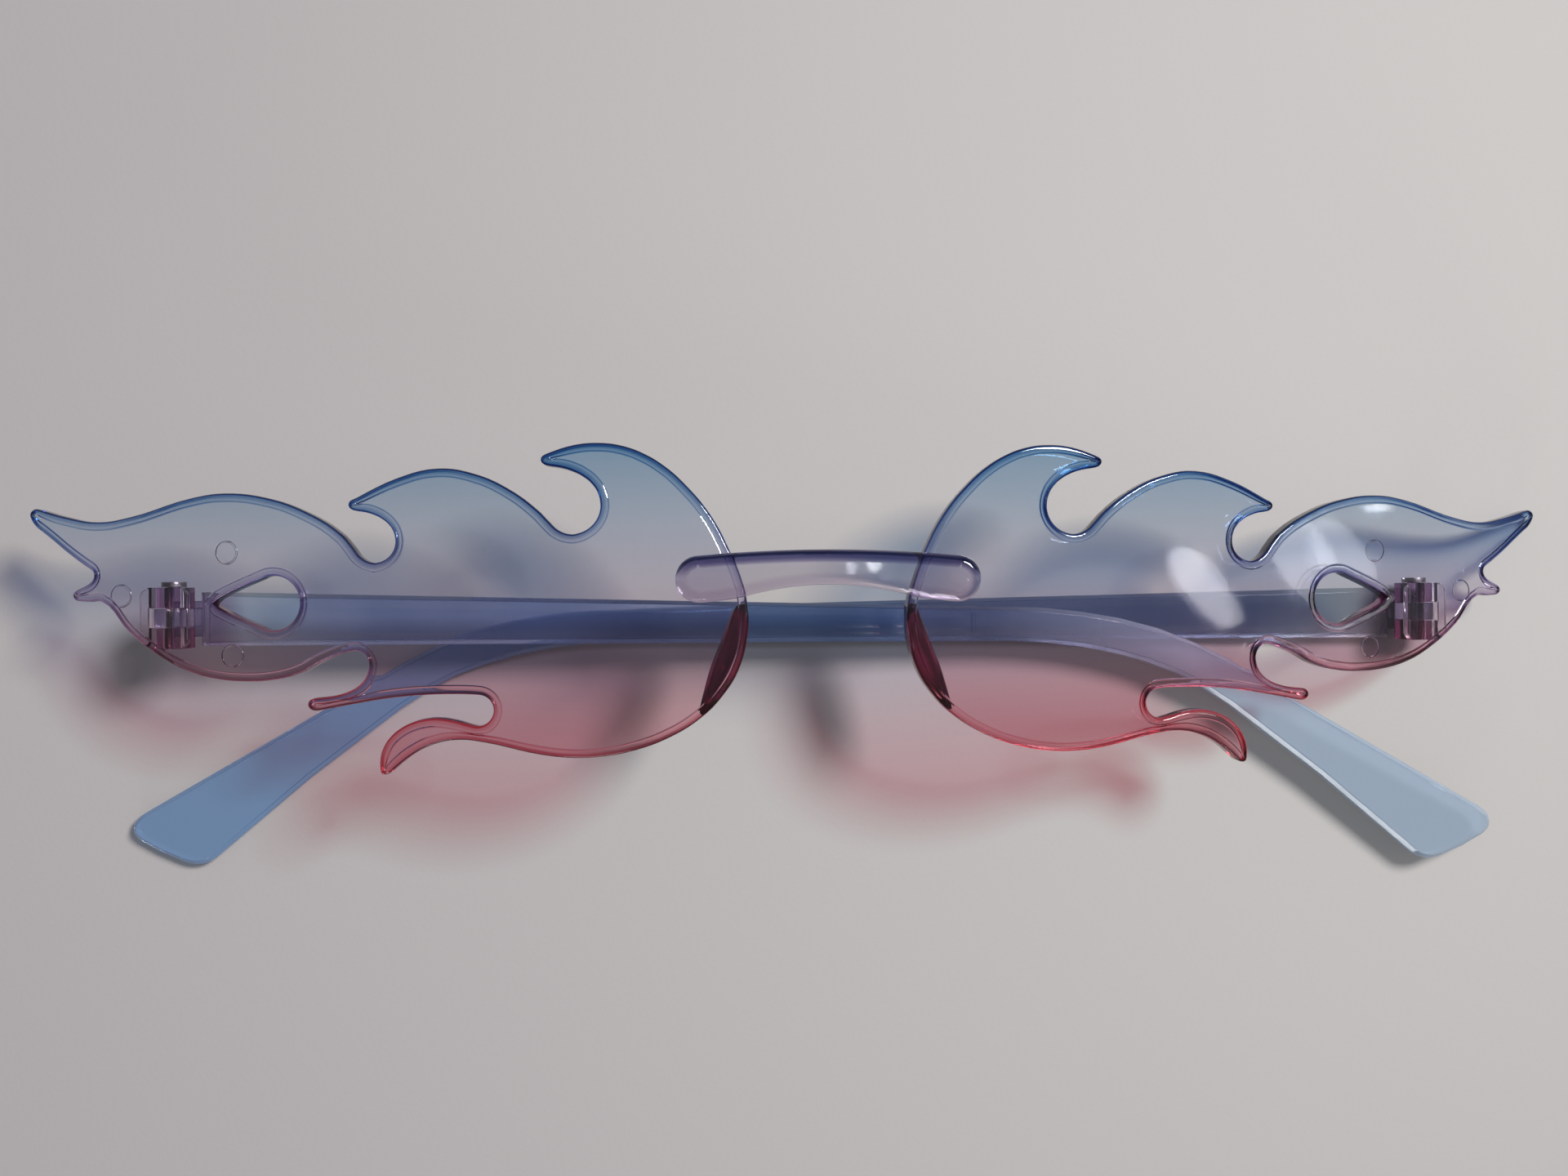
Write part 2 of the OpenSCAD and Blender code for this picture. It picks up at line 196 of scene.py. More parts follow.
# %% Blunt teardrop point, and a plate with a round rim
LENS_T = 1.8 * MM
RIM, RIM_STEPS = 0.33 * MM, 4
POINT_HANDLE, LONG_SIDE = 0.5 * MM, 2 * MM
PLATE_WELD = 0.0005 * MM


def blunt_point(obj, reach):
    """End the teardrop hole, the spline with fewest knots, in a blunt point with short handles."""
    knots = min((spline.bezier_points for spline in obj.data.splines), key=len)
    for i, knot in enumerate(knots):
        sides = [knots[i - 1].co - knot.co, knots[(i + 1) % len(knots)].co - knot.co]
        if min(side.length for side in sides) > LONG_SIDE:
            knot.handle_left_type = knot.handle_right_type = "FREE"
            left, right = knot.handle_left - knot.co, knot.handle_right - knot.co
            knot.handle_left = knot.co + left.normalized() * reach
            knot.handle_right = knot.co + right.normalized() * reach


def round_rimmed_plate(obj, thickness, rim):
    """Fill a flat curve to a plate whose rim is rounded on both sides."""
    shape = obj.data
    shape.dimensions = "2D"
    shape.fill_mode = "BOTH"
    shape.extrude = thickness / 2 - rim
    shape.bevel_depth = rim
    shape.bevel_resolution = RIM_STEPS
    shape.offset = -rim
    take(obj)
    bpy.ops.object.convert(target="MESH")
    bpy.ops.object.mode_set(mode="EDIT")
    bpy.ops.mesh.select_all(action="SELECT")
    bpy.ops.mesh.remove_doubles(threshold=PLATE_WELD)
    bpy.ops.mesh.normals_make_consistent(inside=False)
    bpy.ops.object.mode_set(mode="OBJECT")


print("the round rims take", round(2 * RIM / LENS_T, 2), "of the sheet's thickness")

# %% [markdown]
# Light that comes out of a rim has run along inside the sheet and crossed far more dye, and a
# round rim also bends the light into a dark line. So the dark rim is laid on as deeper dye: partly
# the longer path, partly painted shade. The material can't know where the rim is, so every point
# carries a number for it: 0 on a broad face, 1 on the wall, and a share of it along the border. In
# the photograph the lower rims are pale and pink where light catches them, so the number fades
# towards a plate's lower edge, which paints them lighter: a painted highlight.

# %% A number for the rim on every point
RIM_STEEP = 5.0


def note_rim(plate, thickness, rim, border):
    """Note how far each point lies into the rim, and at least the border's share in front: the
    number that paints shade along the rim.
    """
    amount = plate.data.attributes.new("rim", "FLOAT", "POINT")
    amount.data.foreach_set("value", [
        max(border if vert.co.z > 0 else 0.0,
            min(1.0, RIM_STEEP * (thickness / 2 - abs(vert.co.z)) / rim))
        for vert in plate.data.vertices])


def paint_lit_lower_rim(plate, low_y, high_y, least):
    """Weaken the rim's number from one height down to another, where the least is left: a painted
    highlight that lightens the lower rim.
    """
    depth = plate.data.attributes["rim"].data
    for vert in plate.data.vertices:
        share = (vert.co.y - low_y) / (high_y - low_y)
        depth[vert.index].value *= min(1.0, max(least, share))


print("the rim's dye is full from", round(RIM / RIM_STEEP / MM, 3), "mm under a face")

# %% [markdown]
# Inside the rim a second, finer line follows the outline. It is made as a shallow groove in the
# front face, and its rings carry rim numbers that paint the line darker: painted shade in the
# groove. Insetting the whole face would cross itself at the flame points, so the border is
# extruded in rings, and each point moves inwards only as far as the plate has room for it.

# %% Loops of a border, and the room inside them
SHARE_OF_ROOM = 0.6
EVENING_ROUNDS = 6
TOUCH = 0.001 * MM


def loops_in_order(mesh):
    """The selected edges as closed loops of point numbers."""
    beside = {}
    for edge in mesh.edges:
        if edge.select:
            first, second = edge.vertices
            beside.setdefault(first, []).append(second)
            beside.setdefault(second, []).append(first)
    loops = []
    while beside:
        loop = [next(iter(beside))]
        while loop[-1] in beside:
            onward = [i for i in beside.pop(loop[-1]) if i in beside]
            loop += onward[:1]
            if not onward:
                break
        loops.append(loop)
    return loops


def room_inwards(points, inward, border, far):
    """How far each point can move in: a share of the largest circle that fits there."""
    room = []
    for point, way in zip(points, inward):
        apart = border - point
        facing = apart @ way
        near = facing > TOUCH
        radii = np.sum(apart[near] ** 2, axis=1) / (2 * facing[near])
        room.append(min(far, SHARE_OF_ROOM * radii.min()))
    room = np.array(room)
    for _ in range(EVENING_ROUNDS):
        room = np.minimum(room, (np.roll(room, 1) + room + np.roll(room, -1)) / 3)
    return room


print("a ring keeps", round(1 - SHARE_OF_ROOM, 2), "of the room at a narrow place free")

# %% [markdown]
# A ring starts as the extruded border. Its points are put in order round each loop, so that the
# direction along the loop, and from that the direction inwards, is known at every point. A hole
# is walked like the outline, but its inside lies on the other hand.

# %% Rings inside a plate's border
# For each ring: how far in from the last one, how deep, and its number for the rim, which paints
# shade on the inner line
EDGE_LINE = [(0.36 * MM, 0.0, 0.05), (0.11 * MM, 0.05 * MM, 0.30), (0.11 * MM, 0.0, 0.0)]


def step_inwards(obj, far, level, rim):
    """Move the selected loops into the plate, by less where it is narrow, and note their rim."""
    mesh = obj.data
    loops = loops_in_order(mesh)
    flat = [np.array([mesh.vertices[i].co[:2] for i in loop]) for loop in loops]
    turned = [np.sum(p[:, 0] * np.roll(p[:, 1], -1) - p[:, 1] * np.roll(p[:, 0], -1))
              for p in flat]
    border = np.concatenate(flat)
    outer = int(np.argmax(np.abs(turned)))
    for number, (loop, points) in enumerate(zip(loops, flat)):
        side = np.sign(turned[number]) * (1 if number == outer else -1)
        along = np.roll(points, -1, axis=0) - np.roll(points, 1, axis=0)
        along /= np.linalg.norm(along, axis=1)[:, None]
        inward = side * np.stack([-along[:, 1], along[:, 0]], axis=1)
        room = room_inwards(points, inward, border, far)
        for i, place in zip(loop, points + inward * room[:, None]):
            mesh.vertices[i].co = (place[0], place[1], level)
            mesh.attributes["rim"].data[i].value = rim


def edge_line(obj, rings):
    """Redraw a plate's front face inside rings that follow its border."""
    take(obj)
    top = max(vert.co.z for vert in obj.data.vertices)
    select_where(obj, lambda place: place.z > top - TOUCH)
    bpy.ops.object.mode_set(mode="EDIT")
    bpy.ops.mesh.select_mode(type="FACE")
    bpy.ops.mesh.delete(type="FACE")
    bpy.ops.mesh.select_mode(type="EDGE")
    bpy.ops.mesh.select_all(action="DESELECT")
    bpy.ops.mesh.select_non_manifold()
    for far, sunk, rim in rings:
        bpy.ops.mesh.extrude_edges_move()
        bpy.ops.object.mode_set(mode="OBJECT")
        step_inwards(obj, far, top - sunk, rim)
        bpy.ops.object.mode_set(mode="EDIT")
    bpy.ops.mesh.fill(use_beauty=True)
    bpy.ops.mesh.select_all(action="SELECT")
    bpy.ops.mesh.normals_make_consistent(inside=False)
    bpy.ops.object.mode_set(mode="OBJECT")


print("inner line lies", round((EDGE_LINE[0][0] + EDGE_LINE[1][0]) / MM, 2), "mm inside the rim")

# %% [markdown]
# The plate is cut into narrow strips, so that it can bend, and bent by moving each point back to
# the cylinder that the whole front lies on. A bent plate looks faceted unless its shading is
# smooth, and the weighting keeps its broad faces from picking up the rim's slope.

# %% Strips, the bend, and even shading
FACE_R = 280 * MM
STRIP = 2.5 * MM
CUT_SNAP = 0.0002 * MM


def sliced(obj, step):
    """Cut a plate across into narrow strips, so that it can bend."""
    xs = [vert.co.x for vert in obj.data.vertices]
    take(obj)
    bpy.ops.object.mode_set(mode="EDIT")
    for i in range(math.floor(min(xs) / step), math.ceil(max(xs) / step)):
        bpy.ops.mesh.select_all(action="SELECT")
        bpy.ops.mesh.bisect(plane_co=(i * step, 0, 0), plane_no=(1, 0, 0), threshold=CUT_SNAP)
    bpy.ops.object.mode_set(mode="OBJECT")


def wrap_z(x, inset=0.0):
    """Height of the face's cylinder at a width, or of one that lies further in."""
    return math.sqrt((FACE_R - inset) ** 2 - x * x) - FACE_R


def even_shading(obj, degrees):
    """Smooth shading inside the given angle, weighted so that flat faces look flat."""
    take(obj)
    bpy.ops.object.shade_smooth_by_angle(angle=math.radians(degrees))
    weighted = obj.modifiers.new("weighted", "WEIGHTED_NORMAL")
    weighted.keep_sharp = True
    bpy.ops.object.modifier_apply(modifier=weighted.name)


print("the face falls back", round(-wrap_z(60 * MM) / MM, 1), "mm at 60 mm from the bridge")

# %% [markdown]
# A mould's round pins leave three marks in the back of each lens, as shallow as a scratch, with
# a burr's groove round each. They are cut with a cylinder and a ring, because such tools can be
# laid square to the bent sheet, and the exact cut leaves the plate closed.

# %% Ejector marks
MARKS = [(58.0, 1.7), (69.1, -2.5), (57.4, -8.35)]
MARK_D, MARK_DEEP, MARK_GROOVE = 2.1 * MM, 0.12 * MM, 0.11 * MM
PIN_LENGTH, PIN_SIDES, GROOVE_SIDES = 1 * MM, 48, 10


def carve(piece, tool):
    """Take the shape of a tool out of a piece, and remove the tool."""
    take(piece)
    cut = piece.modifiers.new("mark", "BOOLEAN")
    cut.object = tool
    cut.operation = "DIFFERENCE"
    cut.solver = "MANIFOLD"
    bpy.ops.object.modifier_apply(modifier=cut.name)
    bpy.data.objects.remove(tool)


def press_mark(piece, place, lean):
    """Press a mould's round pin into a face from below, with the burr's groove round its end."""
    x, y, z = place
    bpy.ops.mesh.primitive_cylinder_add(
        vertices=PIN_SIDES, radius=MARK_D / 2, depth=PIN_LENGTH, rotation=(0, lean, 0),
        location=(x, y, z - PIN_LENGTH / 2 + MARK_DEEP))
    carve(piece, bpy.context.active_object)
    bpy.ops.mesh.primitive_torus_add(
        major_segments=PIN_SIDES, minor_segments=GROOVE_SIDES, major_radius=MARK_D / 2,
        minor_radius=MARK_GROOVE, rotation=(0, lean, 0), location=(x, y, z + MARK_DEEP / 2))
    carve(piece, bpy.context.active_object)


print("marks on each lens:", len(MARKS))

# %% [markdown]
# Both lenses are now made in the same order: outline, plate, rim, inner line, bend, marks. The
# crest of the plate is held to the measured height, which the smooth curve passes by a hair.
# Each lens then takes the place of its measured node and rides on the front.

# %% Both lenses
# painted shade: the front face's border takes this share of the rim's dark dye
BORDER_RIM = 0.26
LENS_PAINTED_LIT_RIM = (-13.0 * MM, 1.0 * MM, 0.5)
LENS_SMOOTH = 20
ON_FACE = 0.005 * MM


def on_lens_front(place):
    return abs(math.hypot(place.x, place.z + FACE_R) - FACE_R) < ON_FACE


def make_lens(side):
    node = "lens_left" if side < 0 else "lens_right"
    lens = merged_copy(node, node + "_outline")
    lens.data.transform(to_upright)
    crest = max(vert.co.y for vert in lens.data.vertices)
    outline_curve(lens, on_lens_front, node + "_dyed")
    blunt_point(lens, POINT_HANDLE)
    round_rimmed_plate(lens, LENS_T, RIM)
    note_rim(lens, LENS_T, RIM, BORDER_RIM)
    edge_line(lens, EDGE_LINE)
    # painted highlight: the lower rim is lightened
    paint_lit_lower_rim(lens, *LENS_PAINTED_LIT_RIM)
    sliced(lens, STRIP)
    for vert in lens.data.vertices:
        depth = LENS_T / 2 - vert.co.z
        vert.co.z = wrap_z(vert.co.x, depth)
        vert.co.y = min(vert.co.y, crest)
    for x, y in MARKS:
        place = (side * x * MM, y * MM, wrap_z(x * MM, LENS_T))
        press_mark(lens, place, side * math.asin(x * MM / FACE_R))
    lens.data.transform(to_row)
    even_shading(lens, LENS_SMOOTH)
    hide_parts(node)
    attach(lens, "front")
    report(lens)
    return lens


lenses = [make_lens(-1), make_lens(1)]

# %% [markdown]
# ## Bridge
# One colourless moulded bar joins the lenses across the nose. It lies on their front faces, its
# rim is generously round, and its back follows their curve. It is made as the lenses are, and only
# its back is bent. The bar's upper edge is dark in the photograph: the whole front rim is dyed
# deeper as painted shade, and the rim's number fades quickly from the upper edge downwards, which
# paints the lower edge pale and lit.

# %% Bridge bar
BAR_TOP, BAR_FOOT, BAR_RIM = 2.0 * MM, 0.05 * MM, 0.75 * MM
BAR_RING = [(0.5 * MM, 0.0, 0.0)]
# painted shade: every point of the bar's front rim takes the full rim dye
BAR_BORDER = 1.0
BAR_PAINTED_LIT_RIM = (-1.0 * MM, 0.4 * MM, 0.12)
MOULD_SMOOTH = 40


def make_bridge():
    thick = BAR_TOP - BAR_FOOT
    bar = merged_copy("bridge", "bridge_outline")
    bar.data.transform(to_upright)
    outline_curve(bar, lambda place: abs(place.z - BAR_TOP) < ON_FACE, "bridge_bar")
    round_rimmed_plate(bar, thick, BAR_RIM)
    note_rim(bar, thick, BAR_RIM, BAR_BORDER)
    edge_line(bar, BAR_RING)
    # painted shade stays on the upper edge, and the lower edge is painted lighter
    paint_lit_lower_rim(bar, *BAR_PAINTED_LIT_RIM)
    sliced(bar, STRIP)
    for vert in bar.data.vertices:
        up = vert.co.z + thick / 2
        share = 1 - up / thick
        vert.co.z = BAR_FOOT + up + share * wrap_z(vert.co.x)
    bar.data.transform(to_row)
    even_shading(bar, MOULD_SMOOTH)
    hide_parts("bridge")
    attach(bar, "front")
    report(bar)
    return bar


bridge = make_bridge()

# %% [markdown]
# ## Nose pads
# Each pad is a half-moon fin of deep red plastic behind the nasal edge. The measured fin has few
# sections, so its copy is smoothed by subdivision, which leaves its skin soft like the moulding.

# %% Nose pads
JOIN_ANGLE = math.radians(60)
PAD_LEVELS, PAD_SMOOTH = 2, 60


def make_pad(side):
    node = "nose_pad_left" if side < 0 else "nose_pad_right"
    pad = merged_copy(node, node + "_fin")
    take(pad)
    bpy.ops.object.mode_set(mode="EDIT")
    bpy.ops.mesh.select_all(action="SELECT")
    bpy.ops.mesh.tris_convert_to_quads(face_threshold=JOIN_ANGLE, shape_threshold=JOIN_ANGLE)
    bpy.ops.object.mode_set(mode="OBJECT")
    smooth = pad.modifiers.new("smooth", "SUBSURF")
    smooth.levels = smooth.render_levels = PAD_LEVELS
    bpy.ops.object.modifier_apply(modifier=smooth.name)
    even_shading(pad, PAD_SMOOTH)
    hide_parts(node)
    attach(pad, "front")
    report(pad)
    return pad


pads = [make_pad(-1), make_pad(1)]

# %% [markdown]
# ## Hinges and temples
# These mouldings and the two screws have the measured shape already. What they lack is the small
# round that every moulded edge has, which catches the light. So each is copied, its flat
# triangles are joined, and a fine bevel goes along all its edges. Before its bevel, a temple's
# straight bar is sunk a little inside a narrow band, which draws a fine line along its edges.

# %% Sunk field of a temple's bar
# The straight bar ends this far past the middle of the front
BAR_END = 15.5 * MM
# Its upper side is the one face that looks up and is larger than this
UPWARD, FIELD_LEAST = 0.5, 100 * MM ** 2
# How wide the band is, how wide the slope inside it, and how deep the field lies
FIELD = (0.75 * MM, 0.25 * MM, 0.08 * MM)


def note_points(piece, name, amount):
    """Store a number on every point, worked out from its index and its place."""
    values = piece.data.attributes.new(name, "FLOAT", "POINT")
    values.data.foreach_set("value", [amount(i, v.co) for i, v in enumerate(piece.data.vertices)])


def sunk_field(piece, band, slope, deep):
    """Sink the straight bar's upper side inside a band along its border, and note that part."""
    side = 1 if sum(vert.co.x for vert in piece.data.vertices) > 0 else -1
    bpy.ops.object.mode_set(mode="EDIT")
    bpy.ops.mesh.select_all(action="SELECT")
    bpy.ops.mesh.bisect(plane_co=(-side * BAR_END, 0, 0), plane_no=(1, 0, 0), threshold=CUT_SNAP)
    bpy.ops.object.mode_set(mode="OBJECT")
    for part in (piece.data.vertices, piece.data.edges, piece.data.polygons):
        part.foreach_set("select", [False] * len(part))
    for face in piece.data.polygons:
        face.select = (face.normal.z > UPWARD and side * face.center.x > 0
                       and face.area > FIELD_LEAST)
    bpy.ops.object.mode_set(mode="EDIT")
    bpy.ops.mesh.select_mode(type="FACE")
    bpy.ops.mesh.inset(thickness=band, depth=0, use_individual=True)
    bpy.ops.mesh.inset(thickness=slope, depth=-deep, use_individual=True)
    bpy.ops.object.mode_set(mode="OBJECT")
    sunk = {i for face in piece.data.polygons if face.select for i in face.vertices}
    note_points(piece, "field", lambda i, place: 1.0 if i in sunk else 0.0)
    print(piece.name, "sunk points", len(sunk))


# %% [markdown]
# The bevel's width is the maker's round: finest on the screws, widest on the arms. Edges flatter
# than 25 degrees belong to a curved side and stay as they are.

# %% Softened copies of the moulded pieces
FLAT, SHARP = math.radians(2), math.radians(25)
BEVEL_STEPS = 3
BLOCK_ROUND, SCREW_ROUND, TEMPLE_ROUND = 0.12 * MM, 0.05 * MM, 0.27 * MM
SIDES = ("left", "right")


def soften(node, name, body, width, field=None):
    """Put a copy of a measured piece, with fine rounds along its edges, in that piece's place."""
    piece = merged_copy(node, name)
    take(piece)
    bpy.ops.object.mode_set(mode="EDIT")
    bpy.ops.mesh.select_all(action="SELECT")
    bpy.ops.mesh.dissolve_limited(angle_limit=FLAT)
    bpy.ops.object.mode_set(mode="OBJECT")
    if field:
        sunk_field(piece, *field)
    bevel = piece.modifiers.new("edges", "BEVEL")
    bevel.width = width
    bevel.segments = BEVEL_STEPS
    bevel.limit_method = "ANGLE"
    bevel.angle_limit = SHARP
    bevel.use_clamp_overlap = True
    bpy.ops.object.modifier_apply(modifier=bevel.name)
    even_shading(piece, MOULD_SMOOTH)
    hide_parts(node)
    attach(piece, body)
    report(piece)
    return piece


blocks = [soften("hinge_block_" + side, "hinge_block_%s_moulded" % side, "front",
                 BLOCK_ROUND) for side in SIDES]
screws = [soften("hinge_screw_" + side, "hinge_screw_%s_turned" % side, "front",
                 SCREW_ROUND) for side in SIDES]
temples = [soften("temple_" + side, "temple_%s_moulded" % side, "temple_" + side,
                  TEMPLE_ROUND, field=FIELD) for side in SIDES]

# %% [markdown]
# The dye needs numbers on these pieces too. On a temple the rounds along the bar count as rim,
# which paints their dark edge lines as shade, and the reach from the hinge tells the dye how far
# along the arm a point is. On a hinge block the knuckles, which stand up behind the base plate,
# are seen through their whole depth and look dark. They count as rim, and the rounds of the plate
# count a quarter of that, a painted shade along the plate's edges.

# %% Numbers for the dye on temples and blocks
HINGE_X, PLATE_T = 64.5 * MM, 0.8 * MM
# A face narrower than this is a strip of a bevel
TEMPLE_NARROW, BLOCK_NARROW = 0.17 * MM, 0.07 * MM
# A point whose normal points up by more than this lies on the upper side, not on a round
LEVEL = 0.9
# Further than this from the row of the hinges a temple is tip, whose rounds get no painted shade
TIP_FROM = 18 * MM
# painted shade: the plate's rounds take this share of the rim's dark dye
PLATE_ROUND_RIM, ABOVE_PLATE = 0.25, 0.05 * MM


def on_rounds(piece, narrow):
    """The points that touch only narrow faces, which are those in the middle of a bevel."""
    points = set(range(len(piece.data.vertices)))
    for face in piece.data.polygons:
        corners = [piece.data.vertices[i].co for i in face.vertices]
        around = sum((a - b).length for a, b in zip(corners, corners[1:] + corners[:1]))
        if 2 * face.area / around > narrow:
            points -= set(face.vertices)
    return points


def behind_lens(place):
    """How far a place lies behind the back of the sheet."""
    upright = to_upright @ place
    return FACE_R - math.hypot(upright.x, upright.z + FACE_R) - LENS_T


def block_rim(in_round, place):
    """The rim's number on a hinge block: full on a knuckle, a share on the plate's rounds."""
    if behind_lens(place) > PLATE_T + ABOVE_PLATE:
        return 1.0
    return PLATE_ROUND_RIM if in_round else 0.0


for side, piece in zip((-1, 1), temples):
    level = {vert.index for vert in piece.data.vertices if vert.normal.z > LEVEL}
    rounds = on_rounds(piece, TEMPLE_NARROW) - level
    note_points(piece, "rim", lambda i, place: float(i in rounds and abs(place.y) < TIP_FROM))
    note_points(piece, "reach", lambda i, place: abs(place.x - side * HINGE_X))
    print(piece.name, "points on rounds", len(rounds))
for piece in blocks:
    rounds = on_rounds(piece, BLOCK_NARROW)
    note_points(piece, "rim", lambda i, place: block_rim(i in rounds, place))
    print(piece.name, "points on rounds", len(rounds))

# %% [markdown]
# ## Dyed plastic
# Clear plastic shows its colour by what it lets through, so the dye is the colour of the light
# that has crossed the whole piece. Where the points say rim, the dye is raised to a power and
# comes out nearly black-blue or deep red: partly the far longer path of the light through the dye,
# partly painted shade for the dark line that a round edge shows.
# A material is a net of small steps, and the steps that come again get helpers first.


# %% Helpers for materials
def node_material(name):
    material = bpy.data.materials.new(name)
    material.use_nodes = True
    nodes, links = material.node_tree.nodes, material.node_tree.links
    return material, nodes, links, nodes["Principled BSDF"]


def noise(nodes, links, vector, scale, detail, roughness=0.5):
    texture = nodes.new("ShaderNodeTexNoise")
    texture.inputs["Scale"].default_value = scale
    texture.inputs["Detail"].default_value = detail
    texture.inputs["Roughness"].default_value = roughness
    links.new(vector, texture.inputs["Vector"])
    return texture.outputs["Fac"]


def sum_of(nodes, links, first, factor, second):
    """first x factor + second, where each may be a number or an output."""
    node = nodes.new("ShaderNodeMath")
    node.operation = "MULTIPLY_ADD"
    for socket, value in zip(node.inputs, (first, factor, second)):
        if isinstance(value, (int, float)):
            socket.default_value = value
        else:
            links.new(value, socket)
    return node.outputs[0]


def powered(nodes, links, colour, power):
    node = nodes.new("ShaderNodeGamma")
    links.new(colour, node.inputs["Color"])
    if isinstance(power, float):
        node.inputs["Gamma"].default_value = power
    else:
        links.new(power, node.inputs["Gamma"])
    return node.outputs["Color"]


def stored(nodes, name):
    """A number that was stored on the points of a piece."""
    node = nodes.new("ShaderNodeAttribute")
    node.attribute_name = name
    return node.outputs["Fac"]


def ranged(nodes, links, value, from_low, from_high, to_low=0.0, to_high=1.0, easing="LINEAR"):
    """A value brought from one range to another, and held inside it."""
    node = nodes.new("ShaderNodeMapRange")
    node.interpolation_type = easing
    for name, number in (("From Min", from_low), ("From Max", from_high), ("To Min", to_low),
                         ("To Max", to_high)):
        node.inputs[name].default_value = number
    links.new(value, node.inputs["Value"])
    return node.outputs["Result"]


def two_tone(nodes, links, value, low_tone, high_tone):
    node = nodes.new("ShaderNodeValToRGB")
    node.color_ramp.elements[0].color = low_tone
    node.color_ramp.elements[1].color = high_tone
    links.new(value, node.inputs["Fac"])
    return node.outputs["Color"]


def bumped(nodes, links, skin, height, strength, deep):
    node = nodes.new("ShaderNodeBump")
    node.inputs["Strength"].default_value = strength
    node.inputs["Distance"].default_value = deep
    links.new(height, node.inputs["Height"])
    links.new(node.outputs["Normal"], skin.inputs["Normal"])


print("materials so far:", len(bpy.data.materials))

# %% [markdown]
# The dye changes along the lens from top to bottom, and along a temple from hinge to tip. A
# cloudy noise shifts it a little, because dip dyeing never leaves an even line. A second noise
# varies the polish, as handling does, and a third gives the skin the slow waves of a moulding.

# %% Colour, polish and waves
WANDER = 0.02
CLOUD_SCALE, CLOUD_DETAIL = 70, 3
WEAR_SCALE, WEAR_DETAIL, WEAR_ROUGH = 420, 6, 0.65
WEAR_RANGE = (0.35, 0.75)
WAVE_SCALE, WAVE_DETAIL, WAVE_STRENGTH, WAVE_DEEP = 160, 1, 0.12, 0.08 * MM


def dye_along(nodes, links, place, distance, stops, low, high):
    """The dye's colour: stops are [distance in millimetres, colour that crosses the piece]."""
    cloud = noise(nodes, links, place, CLOUD_SCALE, CLOUD_DETAIL)
    share = ranged(nodes, links, distance, low, high)
    dye = nodes.new("ShaderNodeValToRGB")
    ramp = dye.color_ramp
    while len(ramp.elements) < len(stops):
        ramp.elements.new(0.5)
    for element, (stop, colour) in zip(ramp.elements, stops):
        element.position = (stop * MM - low) / (high - low) + WANDER
        element.color = (*colour, 1)
    links.new(sum_of(nodes, links, cloud, 2 * WANDER, share), dye.inputs["Fac"])
    return dye.outputs["Color"]


def polish_and_waves(nodes, links, place, skin, rough):
    wear = noise(nodes, links, place, WEAR_SCALE, WEAR_DETAIL, WEAR_ROUGH)
    links.new(ranged(nodes, links, wear, *WEAR_RANGE, *rough), skin.inputs["Roughness"])
    waves = noise(nodes, links, place, WAVE_SCALE, WAVE_DETAIL)
    bumped(nodes, links, skin, waves, WAVE_STRENGTH, WAVE_DEEP)


print("the dye wanders by", WANDER, "of its length, and the waves are", WAVE_DEEP / MM, "mm deep")

# %% [markdown]
# Real light also colours the paper under the glasses. A path tracer finds that light too rarely,
# so for the rays that light the paper the skin is a tinted gap. Such a ray crosses two skins,
# and each takes half of the dye, which is its power of one half. Gloss and bending stay with
# the glass.

# %% A gap for the light that reaches the paper
HALF_DYE = 0.5


def gap_for_light(nodes, links, skin, colour, shade):
    """Let the light for the paper straight through, dimmed by the dye and by shade."""
    dimmed = nodes.new("ShaderNodeMix")
    dimmed.data_type = "RGBA"
    dimmed.blend_type = "MULTIPLY"
    dimmed.inputs["Factor"].default_value = 1
    links.new(powered(nodes, links, colour, HALF_DYE), dimmed.inputs["A"])
    dimmed.inputs["B"].default_value = (*shade, 1)
    gap = nodes.new("ShaderNodeBsdfTransparent")
    links.new(dimmed.outputs["Result"], gap.inputs["Color"])
    rays = nodes.new("ShaderNodeLightPath")
    lights_paper = nodes.new("ShaderNodeMath")
    lights_paper.operation = "MAXIMUM"
    links.new(rays.outputs["Is Shadow Ray"], lights_paper.inputs[0])
    links.new(rays.outputs["Is Diffuse Ray"], lights_paper.inputs[1])
    choose = nodes.new("ShaderNodeMixShader")
    links.new(lights_paper.outputs[0], choose.inputs["Fac"])
    links.new(skin.outputs["BSDF"], choose.inputs[1])
    links.new(gap.outputs["BSDF"], choose.inputs[2])
    links.new(choose.outputs["Shader"], nodes["Material Output"].inputs["Surface"])


# %% [markdown]
# The whole material puts these parts together. Acrylic, which such pairs are often made of, has
# a refractive index of 1.49. The skin passes all light, except where a temple turns milky.

# %% Dyed plastic from its parts
PLASTIC_IOR = 1.49
DYE_FOOT, DYE_CREST = -11.5 * MM, 16.5 * MM


